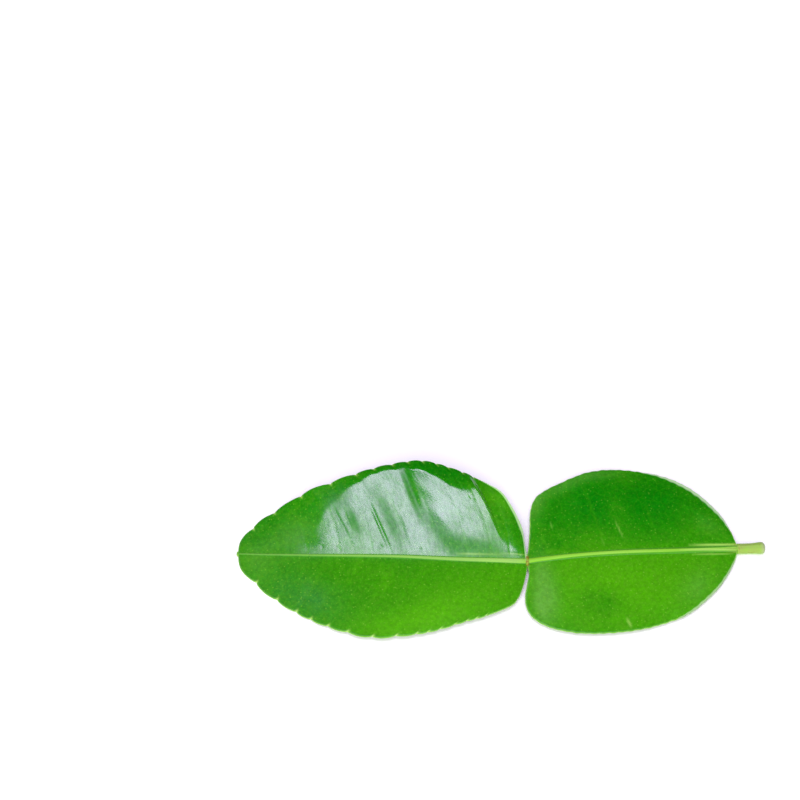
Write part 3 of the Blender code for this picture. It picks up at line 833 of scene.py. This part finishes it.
class Graph:
    """One material's nodes, added one at a time. Patterns read Object coordinates in millimetres."""

    PUSH_SIZE = 2.0
    PUSH = 0.9
    MIDDLE_GREY = (0.5, 0.5, 0.5)

    def __init__(self, name: str) -> None:
        """Starts a material that has nothing but its output."""
        self.material = bpy.data.materials.new(name)
        self.material.use_nodes = True
        self.tree = self.material.node_tree
        self.tree.nodes.clear()
        self.output = self.tree.nodes.new("ShaderNodeOutputMaterial")
        self.place = self.add("Mapping", {"Vector": self.add("TexCoord", {}, "Object"),
                                         "Scale": (MM_PER_METRE,) * 3})

    def add(self, kind: str, inputs: dict[str | int, object], output: str | int = 0, **settings: object) -> Socket:
        """Adds a node.

        Args:
            kind: Blender's name for the type of shader node.
            inputs: What goes into its sockets: a value, or another node's output.
            output: Which of its outputs is wanted.
            settings: Its other settings.

        Returns:
            The output.
        """
        node = self.tree.nodes.new("ShaderNode" + kind)
        for name, value in settings.items():
            setattr(node, name, value)
        for name, value in inputs.items():
            if isinstance(value, Socket):
                self.tree.links.new(value, node.inputs[name])
            elif isinstance(value, tuple) and len(value) == 3 and node.inputs[name].type == "RGBA":
                node.inputs[name].default_value = (*value, 1.0)
            else:
                node.inputs[name].default_value = value
        return node.outputs[output]

    def mark(self, name: str) -> Socket:
        """Reads one of the marks that the mesh carries."""
        return self.add("Attribute", {}, "Fac", attribute_name=name)

    def math(self, operation: str, first: Value, second: Value) -> Socket:
        """Adds a step of arithmetic."""
        return self.add("Math", {0: first, 1: second}, operation=operation)

    def vector(self, operation: str, first: Value, second: Value) -> Socket:
        """Adds a step of vector arithmetic."""
        second_socket = "Scale" if operation == "SCALE" else 1
        return self.add("VectorMath", {0: first, second_socket: second}, operation=operation)

    def times(self, *values: Value) -> Socket:
        """Multiplies several values."""
        return reduce(lambda first, second: self.math("MULTIPLY", first, second), values)

    def plus(self, *values: Value) -> Socket:
        """Sums several values."""
        return reduce(lambda first, second: self.math("ADD", first, second), values)

    def ramp(self, value: Value, low: float, high: float, start: float = 0.0, end: float = 1.0) -> Socket:
        """Runs smoothly from start to end while the value goes from low to high."""
        return self.add("MapRange", {0: value, 1: low, 2: high, 3: start, 4: end}, interpolation_type="SMOOTHSTEP")

    def mix(self, share: Value, first: Value, second: Value) -> Socket:
        """Blends two colours."""
        return self.add("Mix", {0: share, 6: first, 7: second}, 2, data_type="RGBA")

    def layered(self, colour: Value, *layers: tuple[Value, Value]) -> Socket:
        """Lays colours over a first one, each by its own share."""
        for share, tone in layers:
            colour = self.mix(share, colour, tone)
        return colour

    def noise(self, size: float, place: Socket | None = None, detail: float = 2.0, rough: float = 0.5,
              warp: float = 0.0) -> Socket:
        """Soft cloudy noise whose blotches are about this many millimetres across."""
        inputs = {"Vector": place or self.place, "Scale": 1.0 / size, "Detail": detail, "Roughness": rough,
                  "Distortion": warp}
        return self.add("TexNoise", inputs, noise_dimensions="3D")

    def cells(self, size: float, feature: str = "F1", place: Socket | None = None, loose: float = 1.0) -> Socket:
        """Distance in a flat field of cells about this many millimetres across."""
        inputs = {"Vector": place or self.place, "Scale": 1.0 / size, "Randomness": loose}
        return self.add("TexVoronoi", inputs, "Distance", feature=feature, voronoi_dimensions="2D")

    def net(self, size: float) -> Socket:
        """Distance from the threads of a net with cells this wide, pushed about so that none runs straight."""
        push = self.add("TexNoise", {"Vector": self.place, "Scale": 1.0 / self.PUSH_SIZE, "Detail": 1.0}, "Color")
        push = self.vector("SCALE", self.vector("SUBTRACT", push, self.MIDDLE_GREY), self.PUSH)
        return self.cells(size, "DISTANCE_TO_EDGE", self.vector("ADD", self.place, push))

    def veins_place(self, along: float, across: float) -> Socket:
        """Coordinates that follow the side veins: these many millimetres along and across them make one step."""
        run, away = self.times(self.mark("run"), 1.0 / across), self.times(self.mark("away"), 1.0 / along)
        return self.add("CombineXYZ", {"X": run, "Y": away, "Z": self.mark("half")})

    def bump(self, height: Value) -> Socket:
        """The direction that a surface with this relief faces, its height in millimetres."""
        return self.add("Bump", {"Height": height, "Strength": 1.0, "Distance": METRES_PER_MM})

    def finish(self, inputs: dict[str, Value], through: float = 0.0) -> Material:
        """Ends the material with a Principled surface, which lets a share of the light through."""
        surface = self.add("BsdfPrincipled", inputs)
        if through:
            glow = self.add("BsdfTranslucent", {"Color": inputs["Base Color"], "Normal": inputs["Normal"]})
            surface = self.add("MixShader", {0: through, 1: surface, 2: glow})
        self.tree.links.new(surface, self.output.inputs["Surface"])
        return self.material


@dataclass(frozen=True)
class UpperSkin:
    """The glossy upper side: two greens, pale ribs and rims, oil glands and a waxy gloss, with painted light, shade
    and sheen, and painted highlights and shade along some rims.
    """

    name: str = "leaf_upper_skin"
    near: Colour = (0.029, 0.258, 0.0004)
    far: Colour = (0.011, 0.236, 0.0003)
    # Painted shade, for the far half.
    deep: Colour = (0.0006, 0.198, 0.0003)
    # Painted light; also the tone of the lighter streaks along the veins.
    sunny: Colour = (0.078, 0.400, 0.0012)
    warm: Colour = (0.056, 0.330, 0.0006)
    # Bluish painted shade.
    dusk: Colour = (0.028, 0.225, 0.022)
    # Painted sheen.
    bloom: Colour = (0.140, 0.405, 0.055)
    vein: Colour = (0.070, 0.390, 0.003)
    wax: Colour = (0.090, 0.350, 0.009)
    gland: Colour = (0.190, 0.510, 0.035)
    speckle: float = 0.15
    rib: Colour = (0.235, 0.620, 0.014)
    rib_leaflet: Colour = (0.270, 0.560, 0.095)
    pale: Colour = (0.420, 0.740, 0.120)
    stalk: Colour = (0.300, 0.460, 0.070)
    stalk_end: Colour = (0.385, 0.500, 0.210)
    rim: Colour = (0.230, 0.560, 0.040)
    # Painted highlights along the wide rims, for the far half and the near half.
    white: Colour = (0.480, 0.720, 0.370)
    painted_highlight_near: Colour = (0.340, 0.560, 0.230)
    # The leaflet's wide base rim: a pale edge with a painted highlight.
    light: Colour = (0.460, 0.820, 0.300)
    # Painted shade line at the very edge of the wing's wide rims.
    painted_edge_shade: Colour = (0.240, 0.310, 0.210)
    joint: Colour = (0.240, 0.150, 0.014)
    roughness: float = 0.14
    streak: float = 0.09
    dulling: float = 0.32
    least_roughness: float = 0.11
    firm_roughness: float = 0.45
    gloss: float = 1.55
    through: float = 0.12

    def greens(self, g: Graph) -> Socket:
        """The blade's colour, from the broad greens down to the net of small veins, with patches of painted light,
        painted shade, bluish painted shade and painted sheen.
        """
        # The share of the far half, which is a darker green than the near half.
        lean = g.ramp(g.mark("half"), -0.06, 0.30)
        warm = g.ramp(g.noise(12.0, detail=3.0), 0.48, 0.68, 0.0, 0.35)
        # Lighter streaks along the veins, mostly on the near half.
        drawn = g.ramp(g.noise(1.0, g.veins_place(9.0, 2.2), 4.0, 0.6), 0.46, 0.70, 0.0, 0.30)
        # Blotches of painted shade on the far half.
        shade = g.ramp(g.noise(5.0, detail=4.0, warp=0.8), 0.48, 0.72, 0.0, 0.45)
        # How strongly the bluish painted shade shows, in blotches.
        dusk = g.ramp(g.noise(4.0, detail=3.0), 0.25, 0.7, 0.6, 1.0)
        # How strongly the painted sheen shows, in blotches.
        cloud = g.ramp(g.noise(2.5, g.veins_place(6.0, 1.6), 3.0), 0.2, 0.75, 0.45, 0.9)
        vein = g.ramp(g.noise(3.0), 0.3, 0.7, 0.05, 0.25)
        return g.layered(
            g.mix(lean, self.near, self.far),
            # Painted light.
            (g.mark("sunny"), self.sunny),
            (warm, self.warm),
            (g.times(drawn, g.ramp(lean, 0.0, 1.0, 1.0, 0.3)), self.sunny),
            # Painted shade on the far half, in patches and in blotches.
            (g.times(g.mark("deep"), lean), self.deep),
            (g.times(shade, lean), self.deep),
            # Bluish painted shade.
            (g.times(g.mark("dusk"), dusk), self.dusk),
            # Painted sheen.
            (g.times(g.mark("bloom"), cloud), self.bloom),
            (g.ramp(g.net(2.1), 0.0, 0.09, 0.12, 0.0), self.vein),
            (g.times(g.mark("vein"), vein), self.vein))

    def speckled(self, g: Graph, base: Socket) -> Socket:
        """Adds fine lighter and darker grains, a faint wax and the gland dots to a colour, with less wax and weaker
        glands in the painted shade.
        """
        fine = g.ramp(g.noise(0.75, detail=3.0, rough=0.7), 0.28, 0.72, 1.0 - self.speckle, 1.0 + self.speckle)
        base = g.vector("SCALE", base, fine)
        deep = g.mark("deep")
        wax = g.times(g.ramp(g.noise(1.3, detail=4.0, rough=0.75), 0.44, 0.72), g.ramp(deep, 0.0, 0.6, 0.38, 0.03))
        small = g.times(g.ramp(g.cells(0.72), 0.05, 0.26, 0.16, 0.0), g.ramp(deep, 0.0, 0.8, 1.0, 0.4))
        large = g.times(g.ramp(g.cells(1.4, loose=0.97), 0.05, 0.13, 0.60, 0.0),
                        g.ramp(g.noise(2.2), 0.40, 0.62, 0.10, 1.0), g.ramp(deep, 0.0, 0.8, 1.0, 0.6))
        return g.layered(base, (wax, self.wax), (g.math("MAXIMUM", small, large), self.gland))

    def trimmed(self, g: Graph, base: Socket, flank: Socket) -> Socket:
        """Adds the midrib, the rim with its painted highlight and painted shade line, the pale marks, some of them
        painted highlights, the bare stalk and the joint to a colour, and paints the midrib's flanks lighter.

        Args:
            g: The material's nodes.
            base: The blade's own colour.
            flank: Where the flanks of the midrib are.

        Returns:
            The whole skin's colour.
        """
        rim, lip, bare = g.mark("rim"), g.mark("lip"), g.mark("bare")
        along = g.add("SeparateXYZ", {0: g.place})
        past_joint = g.ramp(along, JOINT_PLACE[0] - 3.0, JOINT_PLACE[0] + 1.0)
        on_rib = g.ramp(g.math("SUBTRACT", g.mark("rib"), g.mark("core")), -0.12, 0.10, 1.0, 0.0)
        rib = g.mix(g.ramp(g.noise(2.4, g.veins_place(1.2, 5.0)), 0.3, 0.8, 0.0, 0.35),
                    g.mix(past_joint, self.rib_leaflet, self.rib), self.pale)
        wide = g.ramp(lip, 0.20, 0.42)
        # Painted highlight along the wing's wide rims, paler on the far half.
        white = g.mix(g.ramp(g.mark("half"), -0.2, 0.2), self.painted_highlight_near, self.white)
        # A narrow rim is pale green; a wide one is the leaflet's pale edge with painted highlight, or the wing's
        # painted highlight.
        edge = g.mix(wide, self.rim, g.mix(past_joint, self.light, white))
        # Painted shade: a greyish line at the very edge of the wing's wide rims.
        outermost = g.times(g.ramp(rim, 0.04, 0.14, 0.45, 0.0), wide,
                            g.ramp(along, JOINT_PLACE[0], JOINT_PLACE[0] + 5.0))
        stalk = g.layered(
            self.stalk,
            (g.ramp(g.noise(1.6, detail=3.0), 0.42, 0.68, 0.0, 0.35), self.rib),
            (g.ramp(bare, 0.75, 1.0), self.stalk_end),
            (g.ramp(g.noise(0.9), 0.6, 0.72, 0.0, 0.5), self.joint))
        return g.layered(
            base,
            # Painted light: the midrib's flanks painted lighter.
            (g.times(flank, 0.5), self.sunny),
            (g.times(on_rib, g.mark("ripe")), rib),
            (g.ramp(g.math("DIVIDE", rim, lip), 0.5, 1.0, 0.9, 0.0), edge),
            (outermost, self.painted_edge_shade),
            # Pale marks; along the stalk's channel ridges they are painted highlights.
            (g.times(g.mark("pale"), 0.9), self.pale),
            (g.times(g.mark("notch"), 0.85), self.pale),
            (g.ramp(bare, 0.0, 0.06), stalk),
            (g.mark("joint"), self.joint))

    def height(self, g: Graph) -> Socket:
        """The fine relief, in millimetres: glands, net, and grain drawn out along the veins."""
        grain = g.times(g.noise(0.55, rough=0.6), 0.012)
        drawn = g.times(g.noise(1.0, g.veins_place(2.6, 0.75), 3.0, 0.6), 0.018)
        pits = g.ramp(g.cells(0.85), 0.05, 0.30, -0.005, 0.0)
        net = g.ramp(g.net(2.1), 0.0, 0.12, -0.005, 0.0)
        return g.times(g.plus(grain, drawn, pits, net), g.mark("grain"))

    def rough(self, g: Graph, flank: Socket) -> Socket:
        """How dull the gloss is: streaked along the veins, patchy, and duller on the midrib's flanks and the rim."""
        broad = g.ramp(g.noise(1.0, g.veins_place(7.0, 2.2), 3.0, 0.6), 0.36, 0.68, 0.0, self.streak)
        short = g.ramp(g.noise(1.0, g.veins_place(1.6, 0.45), 3.0, 0.65), 0.40, 0.66, 0.0, self.streak)
        streaks = g.times(g.plus(broad, short), g.ramp(g.mark("grain"), 0.2, 0.55))
        dull = g.plus(streaks, g.times(g.mark("dull"), self.dulling), self.roughness)
        firm = g.math("MAXIMUM", flank, g.ramp(g.mark("rim"), 0.12, 0.35, 1.0, 0.0))
        return g.plus(g.math("MAXIMUM", dull, self.least_roughness), g.times(firm, self.firm_roughness))

    def make(self) -> Material:
        """Builds the material."""
        g = Graph(self.name)
        flank = g.ramp(g.mark("rib"), 0.50, 0.80, 1.0, 0.0)
        colour = self.trimmed(g, self.speckled(g, self.greens(g)), flank)
        return g.finish({"Base Color": colour, "Roughness": self.rough(g, flank), "IOR": self.gloss,
                         "Specular IOR Level": 0.5, "Normal": g.bump(self.height(g))}, self.through)


@dataclass(frozen=True)
class LowerSkin:
    """The paler, duller underside, with a raised net of veins and darker gland dots."""

    name: str = "leaf_lower_skin"
    base: Colour = (0.095, 0.300, 0.030)
    light: Colour = (0.150, 0.380, 0.060)
    gland: Colour = (0.040, 0.190, 0.012)
    vein: Colour = (0.260, 0.520, 0.100)
    rib: Colour = (0.360, 0.620, 0.120)
    joint: Colour = (0.190, 0.075, 0.012)
    roughness: float = 0.52
    gloss: float = 1.45
    through: float = 0.15

    def make(self) -> Material:
        """Builds the material."""
        g = Graph(self.name)
        net = g.ramp(g.net(1.9), 0.0, 0.10, 1.0, 0.0)
        dots = g.ramp(g.cells(0.8), 0.10, 0.24, 1.0, 0.0)
        colour = g.layered(
            g.mix(g.ramp(g.noise(8.0, detail=4.0), 0.35, 0.68), self.base, self.light),
            (g.times(dots, 0.45), self.gland),
            (g.times(net, 0.35), self.vein),
            (g.times(g.mark("vein"), 0.75), self.vein),
            (g.ramp(g.mark("rib"), 0.80, 1.02, 1.0, 0.0), self.rib),
            (g.ramp(g.mark("rim"), 0.12, 0.45, 0.7, 0.0), self.rib),
            (g.times(g.mark("joint"), 0.9), self.joint))
        grain = g.times(g.noise(0.5, detail=3.0, rough=0.65), 0.045)
        relief = g.plus(grain, g.times(net, 0.05), g.times(dots, -0.015))
        rough = g.ramp(g.noise(2.0), 0.3, 0.7, self.roughness - 0.06, self.roughness + 0.08)
        return g.finish({"Base Color": colour, "Roughness": rough, "IOR": self.gloss, "Specular IOR Level": 0.4,
                         "Normal": g.bump(relief)}, self.through)


@dataclass(frozen=True)
class JointSkin:
    """The reddish-brown skin of the joint, with green showing between."""

    name: str = "leaf_joint_skin"
    dark: Colour = (0.230, 0.130, 0.012)
    light: Colour = (0.275, 0.540, 0.030)
    roughness: float = 0.55

    def make(self) -> Material:
        """Builds the material."""
        g = Graph(self.name)
        blotch = g.noise(0.55, detail=3.0, rough=0.65)
        colour = g.mix(g.ramp(blotch, 0.40, 0.68), self.dark, self.light)
        rough = g.ramp(blotch, 0.3, 0.7, self.roughness - 0.1, self.roughness + 0.1)
        return g.finish({"Base Color": colour, "Roughness": rough, "Normal": g.bump(g.times(blotch, 0.08))})


@dataclass(frozen=True)
class Paper:
    """The plain white table top."""

    name: str = "plain_white_top"
    colour: Colour = (0.97, 0.97, 0.97)
    roughness: float = 0.85

    def make(self) -> Material:
        """Builds the material."""
        g = Graph(self.name)
        shade = tuple(channel * 0.995 for channel in self.colour)
        tone = g.mix(g.ramp(g.noise(40.0), 0.3, 0.7), self.colour, shade)
        return g.finish({"Base Color": tone, "Roughness": self.roughness, "Specular IOR Level": 0.1})


@dataclass
class JointBand:
    """The narrow band that rings the neck where the leaflet meets the wing."""

    name: str = "joint_band"
    half_length: float = 0.26
    half_width: float = 1.22
    centre_height: float = 1.45
    half_height: float = 0.80
    squareness: float = 0.75
    end_reach: float = 0.90
    wrinkle: float = 0.012
    wrinkles_around: int = 7
    wrinkles_along: int = 2
    around: int = 96
    along: int = 8

    def build(self, skin: Material) -> Object:
        """Makes the band, which wears this skin, from a tube whose ends draw in."""
        form = bmesh.new()
        bmesh.ops.create_cone(form, cap_ends=True, segments=self.around, radius1=1.0, radius2=1.0, depth=2.0)
        walls = [edge for edge in form.edges if abs(edge.verts[0].co.z - edge.verts[1].co.z) > 1.0]
        bmesh.ops.subdivide_edges(form, edges=walls, cuts=self.along - 1, use_grid_fill=True)
        for vertex in form.verts:
            along, angle = vertex.co.z, math.atan2(vertex.co.y, vertex.co.x)
            bulge = (1 - self.end_reach) * math.sqrt(max(0.0, 1 - along**2))
            wrinkle = self.wrinkle * math.sin(self.wrinkles_around * angle + self.wrinkles_along * along)
            reach = self.end_reach + bulge + wrinkle
            across = math.copysign(abs(math.cos(angle)) ** self.squareness, math.cos(angle))
            vertex.co = Vector((JOINT_PLACE[0] + along * self.half_length,
                                JOINT_PLACE[1] + across * self.half_width * reach,
                                self.centre_height + math.sin(angle) * self.half_height * reach)) * METRES_PER_MM
        bmesh.ops.recalc_face_normals(form, faces=form.faces[:])
        for face in form.faces:
            face.smooth = len(face.verts) == 4
        return finished(form, self.name, [skin])


@dataclass(frozen=True)
class SoftLight:
    """A rectangular studio light. One that leaves gloss alone lights only the matte part of a surface."""

    name: str
    place: Point
    aim: Point
    size: tuple[float, float]
    power: float
    colour: Colour = (1.0, 1.0, 1.0)
    in_gloss: bool = True

    def hang(self) -> Object:
        """Adds the light to the scene."""
        data = bpy.data.lights.new(self.name, "AREA")
        data.shape = "RECTANGLE"
        data.size, data.size_y = self.size
        data.energy = self.power
        data.color = self.colour
        light = linked(self.name, data)
        light.location = self.place
        light.rotation_euler = (Vector(self.aim) - Vector(self.place)).to_track_quat("-Z", "Y").to_euler()
        light.visible_glossy = self.in_gloss
        return light


@dataclass
class Studio:
    """The white table, the soft lights and the camera of the photograph."""

    table_size: float = 4.0
    table_skin: Paper = Paper()
    sky: Colour = (0.98, 0.99, 1.0)
    sky_strength: float = 0.50
    aim: Point = (-0.02135, 0.03783, 0.0)
    distance: float = 0.420
    elevation_deg: float = 60.0
    lens: float = 85.0
    sensor: float = 36.0
    nearest: float = 0.01
    lights: tuple[SoftLight, ...] = (
        SoftLight(name="sheen_panel", place=(-0.030, -0.010, 0.70), aim=(-0.020, 0.006, 0.0), size=(0.32, 0.15),
                  power=2.38, colour=(0.81, 0.66, 1.0)),
        SoftLight(name="key_panel", place=(-0.15, -0.45, 0.75), aim=(0.0, 0.0, 0.0), size=(0.6, 0.6), power=3.5,
                  colour=(1.0, 0.98, 0.95), in_gloss=False),
        SoftLight(name="low_fill", place=(0.0, -0.70, 0.26), aim=(0.0, 0.0, 0.0), size=(1.0, 0.4), power=3.4,
                  in_gloss=False),
    )

    def lay_table(self) -> Object:
        """Makes the table top, which isn't part of the leaf."""
        form = bmesh.new()
        bmesh.ops.create_grid(form, x_segments=2, y_segments=2, size=self.table_size / 2)
        table = finished(form, "table_top", [self.table_skin.make()])
        return table

    def set_sky(self) -> None:
        """Surrounds the scene with an even pale light that gloss doesn't mirror."""
        world = bpy.data.worlds.new("studio_sky")
        world.use_nodes = True
        background = world.node_tree.nodes["Background"]
        background.inputs["Color"].default_value = (*self.sky, 1.0)
        background.inputs["Strength"].default_value = self.sky_strength
        world.cycles_visibility.glossy = False
        bpy.context.scene.world = world

    def place_camera(self) -> Object:
        """Stands the camera where the photograph was taken from."""
        data = bpy.data.cameras.new("camera")
        data.lens = self.lens
        data.sensor_width = self.sensor
        data.clip_start = self.nearest
        camera = linked("camera", data)
        tilt = math.radians(self.elevation_deg)
        away = Vector((0.0, -math.cos(tilt), math.sin(tilt))) * self.distance
        camera.location = Vector(self.aim) + away
        camera.rotation_euler = (math.pi / 2 - tilt, 0.0, 0.0)
        bpy.context.scene.camera = camera
        return camera

    def build(self) -> None:
        """Sets up the table, the light and the camera."""
        self.lay_table()
        self.set_sky()
        for light in self.lights:
            light.hang()
        self.place_camera()
        bpy.context.scene.view_settings.view_transform = "Standard"


@dataclass
class DoubleLeaf:
    """The whole leaf: leaflet, winged stalk and the band between them."""

    leaflet: Blade = field(default_factory=lambda: Blade(LEAFLET))
    wing: Blade = field(default_factory=lambda: Blade(WING, stalk=BareStalk()))
    band: JointBand = field(default_factory=JointBand)
    upper_skin: UpperSkin = UpperSkin()
    lower_skin: LowerSkin = LowerSkin()
    joint_skin: JointSkin = JointSkin()

    def build(self) -> list[Object]:
        """Makes the pieces and puts them in the place of the solid."""
        skins = [self.upper_skin.make(), self.lower_skin.make()]
        pieces = [self.leaflet.build(skins), self.wing.build(skins), self.band.build(self.joint_skin.make())]
        for piece in pieces:
            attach(piece, "root")
            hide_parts("leaf")
            LOG.info("%s: %d faces", piece.name, len(piece.data.polygons))
        return pieces


def main() -> None:
    """Builds the leaf and its studio."""
    logging.basicConfig(level=logging.INFO)
    DoubleLeaf().build()
    Studio().build()


if __name__ == "__main__":
    main()
